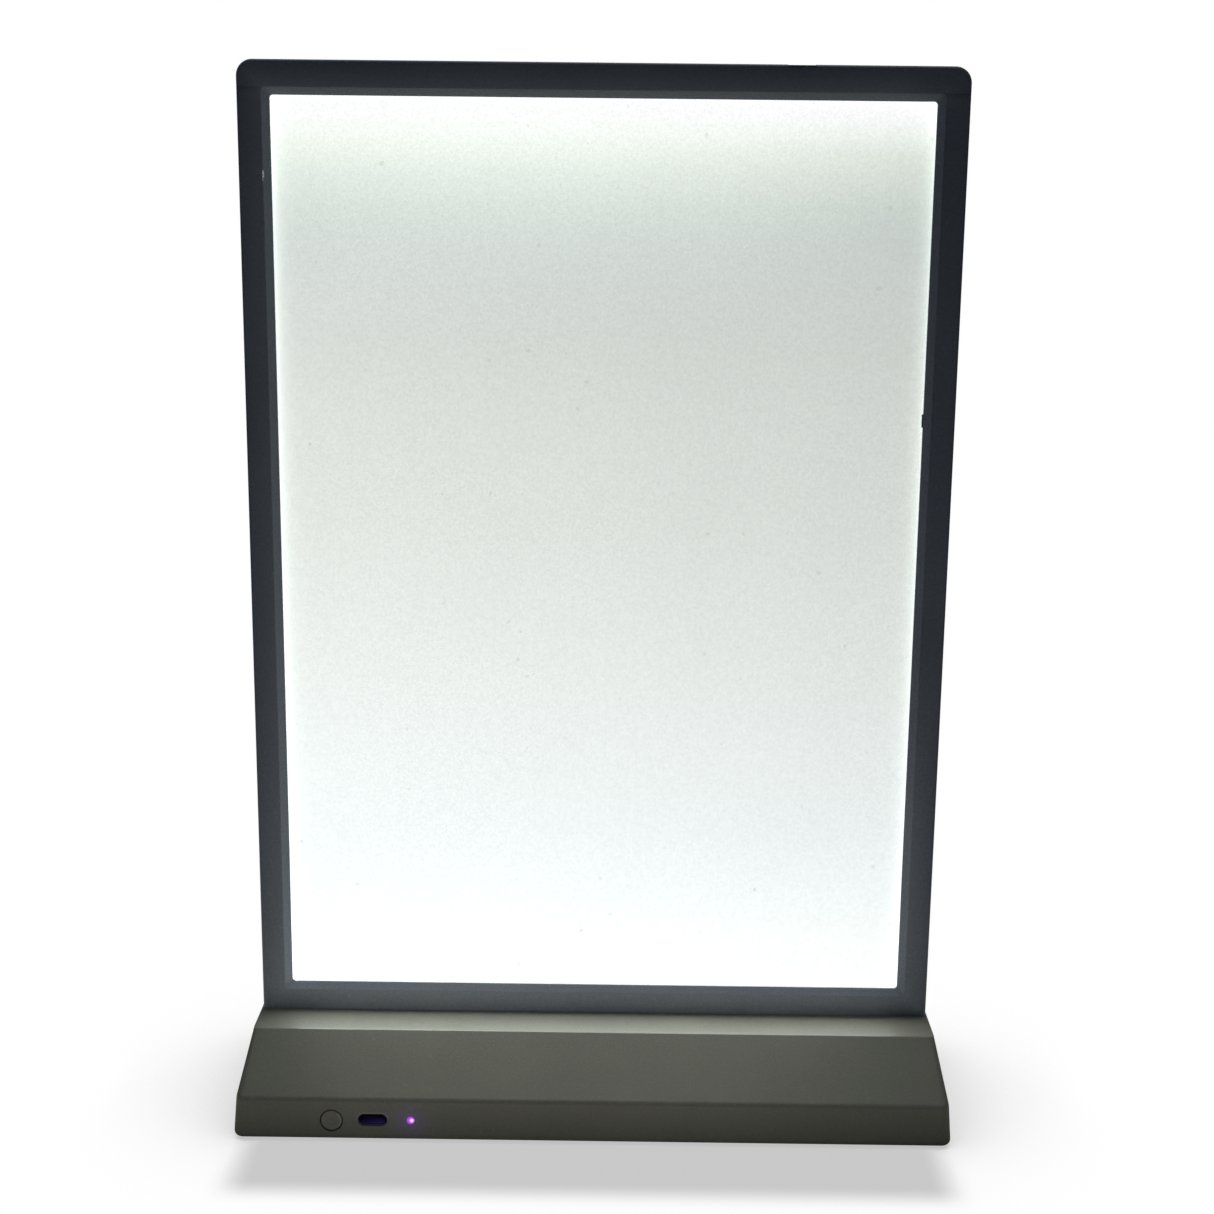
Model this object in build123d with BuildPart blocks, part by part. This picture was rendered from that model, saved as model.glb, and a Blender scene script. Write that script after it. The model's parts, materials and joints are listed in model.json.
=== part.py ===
from build123d import *
from math import atan, cos, radians, sin, tan
import os

os.makedirs("parts", exist_ok=True)

# Upright, double-sided, rechargeable light table: an edge-lit A4 panel standing in a low wedge base.
# Millimetres. +Z up; the front (button, charge socket, indicator) faces -Y.
# Origin: table level, under the centre of the base.

# ---------------------------------------------------------------- shared dimensions
# panel
film_w, film_h = 210.0, 297.0           # A4 film or print
side_lip, end_lip = 3.0, 3.5            # bezel overlap on the sides and ends of the film
open_w, open_h = film_w - 2 * side_lip, film_h - 2 * end_lip
frame_w = 224.0
half_thick = 14.0 / 2                   # half the panel thickness
base_h = 31.2                           # table to the seat under the panel
open_z0 = base_h + 9.4                  # lower edge of the lit opening
open_z1 = open_z0 + open_h
open_mid_z = (open_z0 + open_z1) / 2
frame_top = open_z1 + 10.5

# base outline (half sizes) and the heights of its edges
depth_bottom, depth_knee, depth_ridge = 41.0, 40.2, 21.2
width_bottom, width_knee, width_ridge, width_seat = 117.0, 115.7, 112.75, 112.0
foot_h = 0.8                            # the rubber feet stand this far below the base
knee_z, ridge_z = 14.6, 30.5
wall = 2.2                              # moulded wall
rim_wall = 2.9                          # moulded wall at the rounded lower rim
plate_thick = 2.8
plate_top = foot_h + plate_thick

# panel tongues, which pass into the base, and their clamps
tongue_x0, tongue_x1 = 57.0, 93.0
tongue_y = 5.0                          # half thickness of both tongue halves together
tongue_bottom = 16.0
clamp_top = tongue_bottom - 0.2
clamp_bottom = clamp_top - 1.6
clamp_xy = [(66, -2.5), (84, 2.5), (-66, 2.5), (-84, -2.5)]
panel_lead_x = -46                      # the panel lead drops through the seat here

# controls in the front apron
button_x, port_x, lamp_x = -84.6, -71.25, -58.9
control_z = 7.8                         # height of the socket and the indicator
button_z = 7.5
button_r, button_gap = 3.45, 0.22
port_w, port_h = 9.5, 4.1
lamp_r = 1.3
# depth of the apron surface at the controls
apron_y = depth_knee + (depth_bottom - depth_knee) * (knee_z - control_z) / (knee_z - foot_h)

# control board, hanging in the base with its parts face down
board_z = 9.4                           # underside
board_thick = 1.6
board_top = board_z + board_thick

# fastener and foot places
post_xy = [(-96, -32.2), (-46, -32.2), (-96, -17), (-46, -17)]
boss_xy = [(-107.5, -31.5), (107.5, -31.5), (-107.5, 31.5), (107.5, 31.5), (0, -34.2), (0, 34.2)]
foot_xy = [(x, y) for y in (-26, 26) for x in (-96, 96)]
case_screw_x = 108.6
case_screw_z = [56.0 + 87.0 * i for i in range(4)]
plate_bore_depth = 1.35                 # counterbore under each base plate screw
case_bore_depth = 1.5                   # counterbore behind each case screw

cell_y, cell_z = 20.0, 14.1             # battery axis
ear_x, ear_half = 76, 4                 # cradle screw place, half width of its ear


# ---------------------------------------------------------------- helpers
def block(x0, x1, y0, y1, z0, z1, mode=Mode.ADD):
    """A box between two corners, given in any order, in the open builder."""
    with Locations(((x0 + x1) / 2, (y0 + y1) / 2, (z0 + z1) / 2)):
        Box(abs(x1 - x0), abs(y1 - y0), abs(z1 - z0), mode=mode)


def pan_screw(origin, out, head_r, head_h, shank_r, length):
    """Cross-recessed screw: head on `origin` towards `out`, shank the other way."""
    with Locations(Plane(origin=origin, z_dir=out)):
        with Locations((0, 0, head_h / 2)):
            Cylinder(head_r, head_h)
        with Locations((0, 0, -length / 2)):
            Cylinder(shank_r, length)
        with Locations((0, 0, head_h * 0.7)):
            Box(head_r * 1.25, head_r * 0.27, head_h * 0.62, mode=Mode.SUBTRACT)
            Box(head_r * 0.27, head_r * 1.25, head_h * 0.62, mode=Mode.SUBTRACT)


def head_rims(screws, head_r, axis, level):
    """Outer circular edges of the screw heads, at +/- `level` along axis 0, 1 or 2."""
    circles = screws.edges().filter_by(GeomType.CIRCLE)
    circles = circles.filter_by(lambda e: abs(e.radius - head_r) < 0.01)
    return circles.filter_by(lambda e: abs(abs(tuple(e.center())[axis]) - level) < 0.02)


def wire(points, radius, bend=1.5):
    """A round wire along a bent path, in the open part builder."""
    with BuildLine() as run:
        FilletPolyline(*points, radius=bend)
    with BuildSketch(Plane(origin=run.line @ 0, z_dir=run.line % 0)) as section:
        Circle(radius)
    sweep(section.sketch, path=run.line)


def save(builder, name):
    builder.part.label = name
    export_step(builder.part, f"parts/{name}.step")


# ---------------------------------------------------------------- panel: the two bezel halves
frame_r = 5.0                           # top corners
frame_edge_r = 1.1
bevel_w, bevel_d = 2.4, 1.45            # sloped inner border
open_r = 1.0
pocket_x = 105.5                        # half width of the sheet pocket
pocket_y = 3.3                          # pocket depth from the parting plane
pocket_bottom = 33.4
slot_bottom = 37.3                      # foot of the cover slot
lip_back = 4.80                         # back of the bezel lip
ledge_x = 103.8
channel_x = 107.1                       # outer side of the wire channel
core_gap = 6.0                          # case screw to the nearest core-out
pull_x = 60.3                           # pull tab of the front cover; mirrored for the rear one
pull_notch_half = 4.3
lamp_pads_x = (-84, -42, 0, 42, 84)

# Front half of the housing, up to the parting plane at y = 0.
with BuildPart() as bezel_half:
    with BuildSketch(Plane.XZ) as outline:
        with Locations((0, (base_h + frame_top) / 2)):
            Rectangle(frame_w, frame_top - base_h)
        fillet(outline.vertices().group_by(Axis.Y)[-1], frame_r)
    extrude(amount=half_thick)
    face_edges = bezel_half.faces().sort_by(Axis.Y)[0].edges()
    fillet(face_edges.filter_by(lambda e: e.center().Z > base_h + 1), frame_edge_r)
    # sloped border, then the lit opening behind it
    for depth, grow, radius in ((0, bevel_w, 1.3), (bevel_d, 0, open_r)):
        with BuildSketch(Plane.XZ.offset(half_thick - depth)):
            with Locations((0, open_mid_z)):
                RectangleRounded(open_w + 2 * grow, open_h + 2 * grow, radius)
    loft(mode=Mode.SUBTRACT)
    with BuildSketch(Plane.XZ.offset(half_thick - bevel_d)):
        with Locations((0, open_mid_z)):
            RectangleRounded(open_w, open_h, open_r)
    extrude(amount=-(half_thick - bevel_d), mode=Mode.SUBTRACT)
    # pocket for the light guide, the diffuser and the lamp boards
    block(-pocket_x, pocket_x, -pocket_y, 0, pocket_bottom, frame_top - 2.2, Mode.SUBTRACT)
    # slot for the sliding cover and the film, open at the top
    block(-pocket_x, pocket_x, -lip_back, -pocket_y, slot_bottom, frame_top + 1, Mode.SUBTRACT)
    # wire channel beside the light guide
    block(pocket_x, channel_x, -0.9, 0, 34.9, 336.8, Mode.SUBTRACT)
    # ledges that carry the light guide and the diffuser
    for side in (1, -1):
        block(side * ledge_x, side * (pocket_x + 0.1), -pocket_y, -0.95,
              pocket_bottom - 0.1, slot_bottom + 0.1)
    # core-outs that thin the side rails between the screws
    for below, above in zip(case_screw_z, case_screw_z[1:]):
        for x0, x1 in ((-110.0, -107.6), (107.9, 110.0)):
            block(x0, x1, -4.6, 0, below + core_gap, above - core_gap, Mode.SUBTRACT)
    for side in (-1, 1):
        block(side * tongue_x0, side * tongue_x1, -tongue_y, 0, tongue_bottom, base_h)
    # outlet for the panel lead
    with Locations((panel_lead_x, 0, base_h + 1.1)):
        Cylinder(2.2, 2.6, mode=Mode.SUBTRACT)


def cut_pull_notch(side):
    """Notch over the cover's pull tab; side is -1 for the front, 1 for the rear."""
    middle = -side * pull_x
    block(middle - pull_notch_half, middle + pull_notch_half,
          side * (half_thick + 1), side * (lip_back - 0.2),
          frame_top - 1.1, frame_top + 1, Mode.SUBTRACT)


def add_clamp_holes_and_pads(side):
    """Clamp screw holes in this half's tongues, and pads that carry the lamp boards."""
    with Locations(*[(x, y, tongue_bottom + 5) for x, y in clamp_xy if side * y > 0]):
        Cylinder(1.28, 10.4, mode=Mode.SUBTRACT)
    for x in lamp_pads_x:
        block(x - 1, x + 1, side * 2.9, 0, 336.35, frame_top - 2.1)
        block(x - 1, x + 1, side * 2.9, 0, pocket_bottom - 0.1, 35.35)


with BuildPart() as front_bezel:
    add(bezel_half.part)
    # blind holes for the case screws
    with Locations(*[(s * case_screw_x, 0, z) for s in (-1, 1) for z in case_screw_z]):
        Cylinder(1.04, 9.2, rotation=(90, 0, 0), mode=Mode.SUBTRACT)
    cut_pull_notch(-1)
    # retaining nib on the +X edge of the opening
    block(open_w / 2 - 0.4, open_w / 2 + 0.3, -5.4, -lip_back, 230.8, 235.0)
    add_clamp_holes_and_pads(-1)
save(front_bezel, "front_bezel")

with BuildPart() as rear_bezel:
    add(mirror(bezel_half.part, about=Plane.XZ))
    for side in (-1, 1):
        for z in case_screw_z:
            with Locations(Plane(origin=(side * case_screw_x, half_thick, z), z_dir=(0, 1, 0))):
                CounterBoreHole(radius=1.15, counter_bore_radius=2.0,
                                counter_bore_depth=case_bore_depth, depth=8.0)
    cut_pull_notch(1)
    add_clamp_holes_and_pads(1)
save(rear_bezel, "rear_bezel")

# ---------------------------------------------------------------- panel: optical stack
# Distances from the panel's mid-plane. The film lies between the diffuser and the cover.
guide_x, guide_thick = 105.0, 3.0
diffuser_in, diffuser_out = 1.70, 3.20
cover_in, cover_out = 3.70, 4.70
sheet_x = 105.2                         # half width of the diffusers and covers
pull_half = 2.35

with BuildPart() as light_guide:
    block(-guide_x, guide_x, -guide_thick / 2, guide_thick / 2, 37.45, 334.1)
    chamfer(light_guide.edges().filter_by(Axis.Y), 0.6)
save(light_guide, "light_guide")

for face, side in (("front", -1), ("rear", 1)):
    # opal diffuser
    with BuildPart() as diffuser:
        block(-sheet_x, sheet_x, side * diffuser_in, side * diffuser_out, 37.5, 334.4)
        chamfer(diffuser.edges().filter_by(Axis.Y), 0.5)
    save(diffuser, f"{face}_diffuser")

    # clear cover: lifts straight up and out of its slot so that a film can be laid behind it
    cover_y = (side * cover_in, side * cover_out)
    pull_mid = -side * pull_x
    with BuildPart() as cover_sheet:
        block(-sheet_x, sheet_x, *cover_y, slot_bottom + 0.1, frame_top - 1.1)
        fillet(cover_sheet.edges().filter_by(Axis.Y), 0.8)
        block(pull_mid - pull_half, pull_mid + pull_half, *cover_y,
              frame_top - 3, frame_top - 0.1)
    save(cover_sheet, f"{face}_cover_sheet")

# Lamp boards along the top and bottom of the light guide, lamps facing into its edge.
lamp_board_x, lamp_board_y = 103.5, 2.8         # half sizes
lamp_board_thick = 1.0
top_lamp_z, bottom_lamp_z = 335.2, 36.45        # board faces that carry the lamps
lamp_count, lamp_pitch = 24, 8.4

for place, lamp_z, outward in (("top", top_lamp_z, 1), ("bottom", bottom_lamp_z, -1)):
    with BuildPart() as led_board:
        block(-lamp_board_x, lamp_board_x, -lamp_board_y, lamp_board_y,
              lamp_z, lamp_z + outward * lamp_board_thick)
        fillet(led_board.edges().filter_by(Axis.Z), 0.8)
    save(led_board, f"{place}_led_board")

    with BuildPart() as led_chips:
        with Locations(Location((0, 0, lamp_z - outward * 0.4))):
            with GridLocations(lamp_pitch, 1, lamp_count, 1):
                Box(3.0, 1.4, 0.76)
    save(led_chips, f"{place}_led_chips")

# Link from the bottom lamp board up the wire channel to the top one.
link_end_x = lamp_board_x + 0.1
link_run_x = (pocket_x + channel_x) / 2
link_z0 = bottom_lamp_z - lamp_board_thick / 2
link_z1 = top_lamp_z + lamp_board_thick / 2
with BuildPart() as led_link_cable:
    wire([(link_end_x, 0, link_z0), (link_run_x, 0, link_z0),
          (link_run_x, 0, link_z1), (link_end_x, 0, link_z1)], radius=0.6, bend=1.2)
save(led_link_cable, "led_link_cable")

# Case screws, driven from the rear.
case_head_r, case_head_h = 1.8, 1.25
case_head_y = half_thick - case_bore_depth
with BuildPart() as bezel_screws:
    for side in (-1, 1):
        for z in case_screw_z:
            pan_screw((side * case_screw_x, case_head_y, z), (0, 1, 0),
                      case_head_r, case_head_h, shank_r=1.0, length=9.6)
    fillet(head_rims(bezel_screws, case_head_r, 1, case_head_y + case_head_h), 0.4)
save(bezel_screws, "bezel_screws")

# Reflective tape along the two dark edges of the light guide.
with BuildPart() as edge_reflectors:
    for side in (-1, 1):
        with Locations((side * (guide_x + 0.25), 0, 186.0)):
            Box(0.2, guide_thick, 290.0)
save(edge_reflectors, "edge_reflectors")

# ---------------------------------------------------------------- base housing
# A low wedge: nearly upright apron, sloping front and rear, narrow ledge under the panel.
rim_r, knee_r, ridge_r = 1.9, 2.6, 1.0  # roundings of the side profile
cavity_r = 2.2                          # upright corners of the cavity
cavity_roof = 28.6
cavity_roof_x = 110.2
boss_r, post_r = 2.9, 2.3

# profile corners (y, z)
bottom_inner, bottom_edge = (depth_bottom - 3, foot_h), (depth_bottom, foot_h)
knee, ridge, seat_edge = (depth_knee, knee_z), (depth_ridge, ridge_z), (half_thick, base_h)

# height, half width
width_stations = [
    (foot_h, width_bottom), (knee_z, width_knee), (ridge_z, width_ridge), (base_h, width_seat),
]


def rounded(before, corner, after, radius, steps):
    """Points of the arc that rounds `corner` between its two neighbours."""
    apex = Vector(*corner)
    to_before = (Vector(*before) - apex).normalized()
    to_after = (Vector(*after) - apex).normalized()
    half = radians(to_before.get_angle(to_after) / 2)
    reach = radius / tan(half)
    centre = apex + (to_before + to_after).normalized() * (radius / sin(half))
    start, end = apex + to_before * reach - centre, apex + to_after * reach - centre
    turn = radians(start.get_angle(end))
    points = []
    for k in range(steps + 1):
        blend = start * sin(turn * (1 - k / steps)) + end * sin(turn * k / steps)
        points.append(centre + blend * (1 / sin(turn)))
    return points


def half_width(z):
    for (z0, w0), (z1, w1) in zip(width_stations, width_stations[1:]):
        if z <= z1 + 1e-9:
            return w0 + (w1 - w0) * (z - z0) / (z1 - z0)


def corner_radius(z):
    """Upright corners, tightening from the table up to the ridge."""
    return 3.6 - 2.2 * min(z, ridge_z) / ridge_z


# Solid outer form. Each station is a profile point (X is depth, Y is height) and a side inset.
with BuildPart() as base_form:
    stations = [(p, max(0.0, depth_bottom - p.X))
                for p in rounded(bottom_inner, bottom_edge, knee, rim_r, 6)]
    stations += [(p, 0.0) for p in rounded(bottom_edge, knee, ridge, knee_r, 5)]
    stations += [(p, 0.0) for p in rounded(knee, ridge, seat_edge, ridge_r, 5)]
    for point, inset in stations:
        with BuildSketch(Plane.XY.offset(point.Y)):
            RectangleRounded(2 * (half_width(point.Y) - inset), 2 * point.X,
                             corner_radius(point.Y) - inset)
    with BuildSketch(Plane.XY.offset(base_h)):
        RectangleRounded(2 * width_seat, 2 * half_thick, 1.0)
    loft(ruled=True)

slope = (ridge_z - knee_z) / (depth_knee - depth_ridge)     # rise per unit depth
drop = wall / cos(atan(slope))                              # wall measured vertically
cavity_knee_z = knee_z + wall * slope - drop
cavity_roof_y = depth_knee - (cavity_roof + drop - knee_z) / slope

# half width, half depth, height
cavity_stations = [
    (width_bottom - rim_wall, depth_bottom - rim_wall, foot_h),
    (width_knee - wall, depth_knee - wall, cavity_knee_z),
    (cavity_roof_x, cavity_roof_y, cavity_roof),
]

with BuildPart() as base_shell:
    add(base_form.part)
    # clear the bottom, then hollow the apron and the slopes
    with BuildSketch(Plane.XY.offset(foot_h)):
        RectangleRounded(2 * (width_bottom - rim_wall), 2 * (depth_bottom - rim_wall), cavity_r)
    extrude(amount=-3, mode=Mode.SUBTRACT)
    for pair in zip(cavity_stations, cavity_stations[1:]):
        for half_w, half_d, z in pair:
            with BuildSketch(Plane.XY.offset(z)):
                RectangleRounded(2 * half_w, 2 * half_d, cavity_r)
        loft(ruled=True, mode=Mode.SUBTRACT)
    # sleeves round the two panel tongues; the clamp plates bear on their lower ends
    for side in (-1, 1):
        block(side * (tongue_x0 - 2.5), side * (tongue_x1 + 2.5), -7.75, 7.75,
              clamp_top, cavity_roof + 0.2)
    # bosses for the base plate screws
    with BuildSketch(Plane.XY.offset(plate_top)):
        with Locations(*boss_xy):
            Circle(boss_r)
    extrude(amount=22)
    # posts for the control board
    with BuildSketch(Plane.XY.offset(board_top)):
        with Locations(*post_xy):
            Circle(post_r)
    extrude(amount=18)
    # trim bosses and posts to the outer form
    add(base_form.part, mode=Mode.INTERSECT)
    # openings in the seat: two tongues and the panel lead
    for side in (-1, 1):
        block(side * (tongue_x0 - 0.2), side * (tongue_x1 + 0.2), -tongue_y - 0.2, tongue_y + 0.2,
              10, base_h + 1, Mode.SUBTRACT)
    with Locations((panel_lead_x, 0, base_h - 1)):
        Cylinder(2.4, 6, mode=Mode.SUBTRACT)
    # pilot holes
    with Locations(*[(x, y, plate_top + 4.0) for x, y in boss_xy]):
        Cylinder(0.95, 8.2, mode=Mode.SUBTRACT)
    with Locations(*[(x, y, board_top + 2.4) for x, y in post_xy]):
        Cylinder(0.85, 5.0, mode=Mode.SUBTRACT)
    # openings in the front apron: button, charge socket, indicator
    with BuildSketch(Plane.XZ.offset(depth_bottom - wall - 1.3)):
        with Locations((button_x, button_z)):
            Circle(button_r + button_gap)
        with Locations((port_x, control_z)):
            RectangleRounded(port_w, port_h, port_h / 2 - 0.02)
        with Locations((lamp_x, control_z)):
            Circle(lamp_r)
    extrude(amount=5, mode=Mode.SUBTRACT)
save(base_shell, "base_shell")

plate_inset = rim_wall + 0.25           # wall plus fitting gap
foot_r, foot_recess = 5.0, 0.6
pad_top = 5.5                           # raised pads under the cradle ears

with BuildPart() as base_plate:
    with BuildSketch(Plane.XY.offset(foot_h)):
        RectangleRounded(2 * (width_bottom - plate_inset), 2 * (depth_bottom - plate_inset), 2.0)
    extrude(amount=plate_thick)
    for x in (-ear_x, ear_x):
        block(x - ear_half, x + ear_half, cell_y - ear_half, cell_y + ear_half,
              plate_top - 0.1, pad_top)
    with BuildSketch(Plane.XY.offset(foot_h)):
        with Locations(*foot_xy):
            Circle(foot_r + 0.1)
    extrude(amount=foot_recess, mode=Mode.SUBTRACT)
    for x, y in boss_xy:
        with Locations(Plane(origin=(x, y, foot_h), z_dir=(0, 0, -1))):
            CounterBoreHole(radius=1.25, counter_bore_radius=2.3,
                            counter_bore_depth=plate_bore_depth, depth=plate_thick + 1)
    with Locations((-ear_x, cell_y, 4.0), (ear_x, cell_y, 4.0)):
        Cylinder(0.85, 3.4, mode=Mode.SUBTRACT)
save(base_plate, "base_plate")

plate_head_r, plate_head_h = 2.0, 1.2
plate_head_z = foot_h + plate_bore_depth
with BuildPart() as base_plate_screws:
    for x, y in boss_xy:
        pan_screw((x, y, plate_head_z), (0, 0, -1),
                  plate_head_r, plate_head_h, shank_r=0.9, length=8.4)
    fillet(head_rims(base_plate_screws, plate_head_r, 2, plate_head_z - plate_head_h), 0.35)
save(base_plate_screws, "base_plate_screws")

with BuildPart() as rubber_feet:
    with BuildSketch(Plane.XY):
        with Locations(*foot_xy):
            Circle(foot_r)
    extrude(amount=foot_h + foot_recess)
    fillet(rubber_feet.edges().group_by(Axis.Z)[0], 0.4)
save(rubber_feet, "rubber_feet")

# Clamp plates pull the panel tongues down into the base.
with BuildPart() as panel_clamps:
    for side in (-1, 1):
        block(side * (tongue_x0 - 1), side * (tongue_x1 + 1), -7.4, 7.4, clamp_bottom, clamp_top)
    fillet(panel_clamps.edges().filter_by(Axis.Z), 1.5)
    with Locations(*[(x, y, (clamp_bottom + clamp_top) / 2) for x, y in clamp_xy]):
        Cylinder(1.4, 3, mode=Mode.SUBTRACT)
save(panel_clamps, "panel_clamps")

with BuildPart() as clamp_screws:
    for x, y in clamp_xy:
        pan_screw((x, y, clamp_bottom), (0, 0, -1),
                  head_r=2.2, head_h=1.5, shank_r=1.22, length=11.0)
save(clamp_screws, "clamp_screws")

# ---------------------------------------------------------------- control board and its parts
with BuildPart() as control_board:
    block(-100.0, -42.0, -36.1, -14.0, board_z, board_top)
    fillet(control_board.edges().filter_by(Axis.Z), 1.5)
    with Locations(*[(x, y, board_z + board_thick / 2) for x, y in post_xy]):
        Cylinder(1.05, 3, mode=Mode.SUBTRACT)
save(control_board, "control_board")

with BuildPart() as board_screws:
    for x, y in post_xy:
        pan_screw((x, y, board_z), (0, 0, -1), head_r=1.8, head_h=1.2, shank_r=0.8, length=6.0)
save(board_screws, "board_screws")

# Charge controller, lamp driver and their coil: x0, y0, side of the square, height.
component_table = [(-75.5, -27.5, 5.0, 1.0), (-90.5, -25.5, 4.0, 1.0), (-84.0, -23.0, 6.0, 3.0)]
with BuildPart() as board_components:
    for x0, y0, size, height in component_table:
        block(x0, x0 + size, y0, y0 + size, board_z - height, board_z)
save(board_components, "board_components")

usb_w, usb_h, usb_r, usb_wall = 8.94, 3.2, 1.55, 0.3
with BuildPart() as usb_c_shell:
    with BuildSketch(Plane.XZ.offset(32.1)):
        with Locations((port_x, control_z)):
            RectangleRounded(usb_w, usb_h, usb_r)
    extrude(amount=7.4)
    with BuildSketch(Plane.XZ.offset(32.0)):
        with Locations((port_x, control_z)):
            RectangleRounded(usb_w - 2 * usb_wall, usb_h - 2 * usb_wall, usb_r - usb_wall)
    extrude(amount=8, mode=Mode.SUBTRACT)
save(usb_c_shell, "usb_c_shell")

# Rear plug of the socket, with the contact tongue standing forward from it.
with BuildPart() as usb_c_tongue:
    with BuildSketch(Plane.XZ.offset(32.2)):
        with Locations((port_x, control_z)):
            RectangleRounded(8.3, 2.56, 1.23)
    extrude(amount=1.3)
    with BuildSketch(Plane.XZ.offset(33.4)):
        with Locations((port_x, control_z)):
            Rectangle(6.6, 0.7)
    extrude(amount=5.2)
save(usb_c_tongue, "usb_c_tongue")

with BuildPart() as switch_housing:
    block(button_x - 3.1, button_x + 3.1, -35.9, -32.4, button_z - 1.8, board_z)
    with Locations((button_x, -35.2, button_z)):
        Cylinder(1.28, 2.4, rotation=(90, 0, 0), mode=Mode.SUBTRACT)
save(switch_housing, "switch_housing")

with BuildPart() as switch_plunger:
    with Locations((button_x, -36.0, button_z)):
        Cylinder(1.2, 1.7, rotation=(90, 0, 0))
save(switch_plunger, "switch_plunger")

button_back = 37.5
with BuildPart() as power_button:
    with BuildSketch(Plane.XZ.offset(button_back)):
        with Locations((button_x, button_z)):
            Circle(button_r)
    extrude(amount=apron_y + 0.12 - button_back)
    fillet(power_button.edges().sort_by(Axis.Y)[0], 0.45)
    # flange behind the apron
    block(button_x - 4.8, button_x + 4.8, -37.94, -36.92, 3.95, 11.6)
save(power_button, "power_button")

with BuildPart() as indicator_led:
    block(lamp_x - 1.5, lamp_x + 1.5, -36.0, -34.2, 6.6, board_z)
save(indicator_led, "indicator_led")

lens_back = 36.3
with BuildPart() as indicator_lens:
    with BuildSketch(Plane.XZ.offset(lens_back)):
        with Locations((lamp_x, control_z)):
            Circle(lamp_r - 0.07)
    extrude(amount=apron_y - 0.02 - lens_back)
    # flange behind the apron
    with BuildSketch(Plane.XZ.offset(37.35)):
        with Locations((lamp_x, control_z)):
            Circle(2.0)
    extrude(amount=0.6)
save(indicator_lens, "indicator_lens")

# ---------------------------------------------------------------- battery and wiring
cell_r, cell_len = 9.2, 64.5
cell_mids = (32.5, -33.05)
cradle_x, cradle_inner_x = 67.6, 65.8   # half lengths
cradle_y0, cradle_y1 = cell_y - 10.1, cell_y + 10.1
cradle_bottom, cradle_floor, cradle_end_top = 3.65, 4.8, 18.0
ear_top = 7.0

with BuildPart() as battery_cells:
    with Locations(*[(x, cell_y, cell_z) for x in cell_mids]):
        Cylinder(cell_r, cell_len, rotation=(0, 90, 0))
    fillet(battery_cells.edges().filter_by(GeomType.CIRCLE), 0.8)
    # terminals on the +X ends
    with Locations(*[(x + cell_len / 2 + 0.25, cell_y, cell_z) for x in cell_mids]):
        Cylinder(3.0, 0.55, rotation=(0, 90, 0))
save(battery_cells, "battery_cells")

with BuildPart() as battery_cradle:
    block(-cradle_x, cradle_x, cradle_y0, cradle_y1, cradle_bottom, 13.0)
    for side in (-1, 1):
        block(side * cradle_inner_x, side * cradle_x, cradle_y0, cradle_y1,
              cradle_bottom, cradle_end_top)
    block(-cradle_inner_x, cradle_inner_x, cell_y - 9.3, cell_y + 9.3,
          cradle_floor, cradle_end_top, Mode.SUBTRACT)
    # screw ears, and slots that let the end contacts out through the front wall
    for side in (-1, 1):
        block(side * (cradle_x - 0.1), side * (ear_x + ear_half),
              cell_y - ear_half, cell_y + ear_half, pad_top + 0.05, ear_top)
        block(side * 65.2, side * (cradle_inner_x + 0.01), 9, 10.8,
              cradle_floor, 20, Mode.SUBTRACT)
    with Locations((-ear_x, cell_y, 6), (ear_x, cell_y, 6)):
        Cylinder(1.1, 4, mode=Mode.SUBTRACT)
save(battery_cradle, "battery_cradle")

with BuildPart() as cradle_screws:
    for x in (-ear_x, ear_x):
        pan_screw((x, cell_y, ear_top), (0, 0, 1),
                  head_r=1.9, head_h=1.2, shank_r=0.8, length=4.5)
save(cradle_screws, "cradle_screws")

# Contact strips: one at each end, one between the cells.
contact_half = 0.2
contact_right, contact_left = 65.5, -65.55
contact_front = 8.4
with BuildPart() as battery_contacts:
    for x in (contact_right, contact_left):
        block(x - contact_half, x + contact_half, contact_front, 25.0, 5.0, 19.5)
    block(-contact_half, contact_half, 13.0, 27.0, 5.0, 20.0)
save(battery_contacts, "battery_contacts")

# colour, start x, x of the run towards the front, y at the plug, height
lead_run_y, lead_end_x = 6.2, -35.9
for colour, start_x, run_x, end_y, z in [
    ("red", contact_right, -24, -25.9, 8.0),
    ("black", contact_left, -28, -23.3, 7.0),
]:
    with BuildPart() as battery_lead:
        wire([(start_x, contact_front - 0.02, z), (start_x, lead_run_y, z),
              (run_x, lead_run_y, z), (run_x, end_y, z), (lead_end_x, end_y, z)], radius=0.7)
    save(battery_lead, f"battery_lead_{colour}")

# Connectors: name, body, second block and how it combines. Blocks are x0, x1, y0, y1, z0, z1.
connectors = [
    ("battery_socket", (-49.0, -42.5, -28.4, -20.9, 4.9, board_z),
     (-47.0, -42.4, -27.1, -22.1, 5.9, 8.3), Mode.SUBTRACT),
    ("battery_plug", (-42.4, -35.95, -27.8, -21.5, 5.2, 9.0),
     (-46.6, -42.4, -27.0, -22.2, 6.0, 8.2), Mode.ADD),
    ("panel_socket", (-61.6, -54.4, -20.0, -14.3, 5.2, board_z),
     (-60.5, -55.5, -18.5, -14.2, 6.3, 8.7), Mode.SUBTRACT),
    ("panel_plug", (-61.0, -55.0, -14.2, -9.85, 5.6, 9.1),
     (-60.4, -55.6, -18.1, -14.2, 6.4, 8.6), Mode.ADD),
]
for name, body, second, mode in connectors:
    with BuildPart() as connector:
        block(*body)
        block(*second, mode)
    save(connector, name)

# Lead from the panel down through the seat and forward to its plug.
plug_x, lead_z = -58, 7.5
with BuildPart() as panel_cable:
    wire([(panel_lead_x, 0, 35.4), (panel_lead_x, 0, lead_z), (plug_x, 0, lead_z),
          (plug_x, -9.8, lead_z)], radius=1.0, bend=2.0)
save(panel_cable, "panel_cable")
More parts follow.
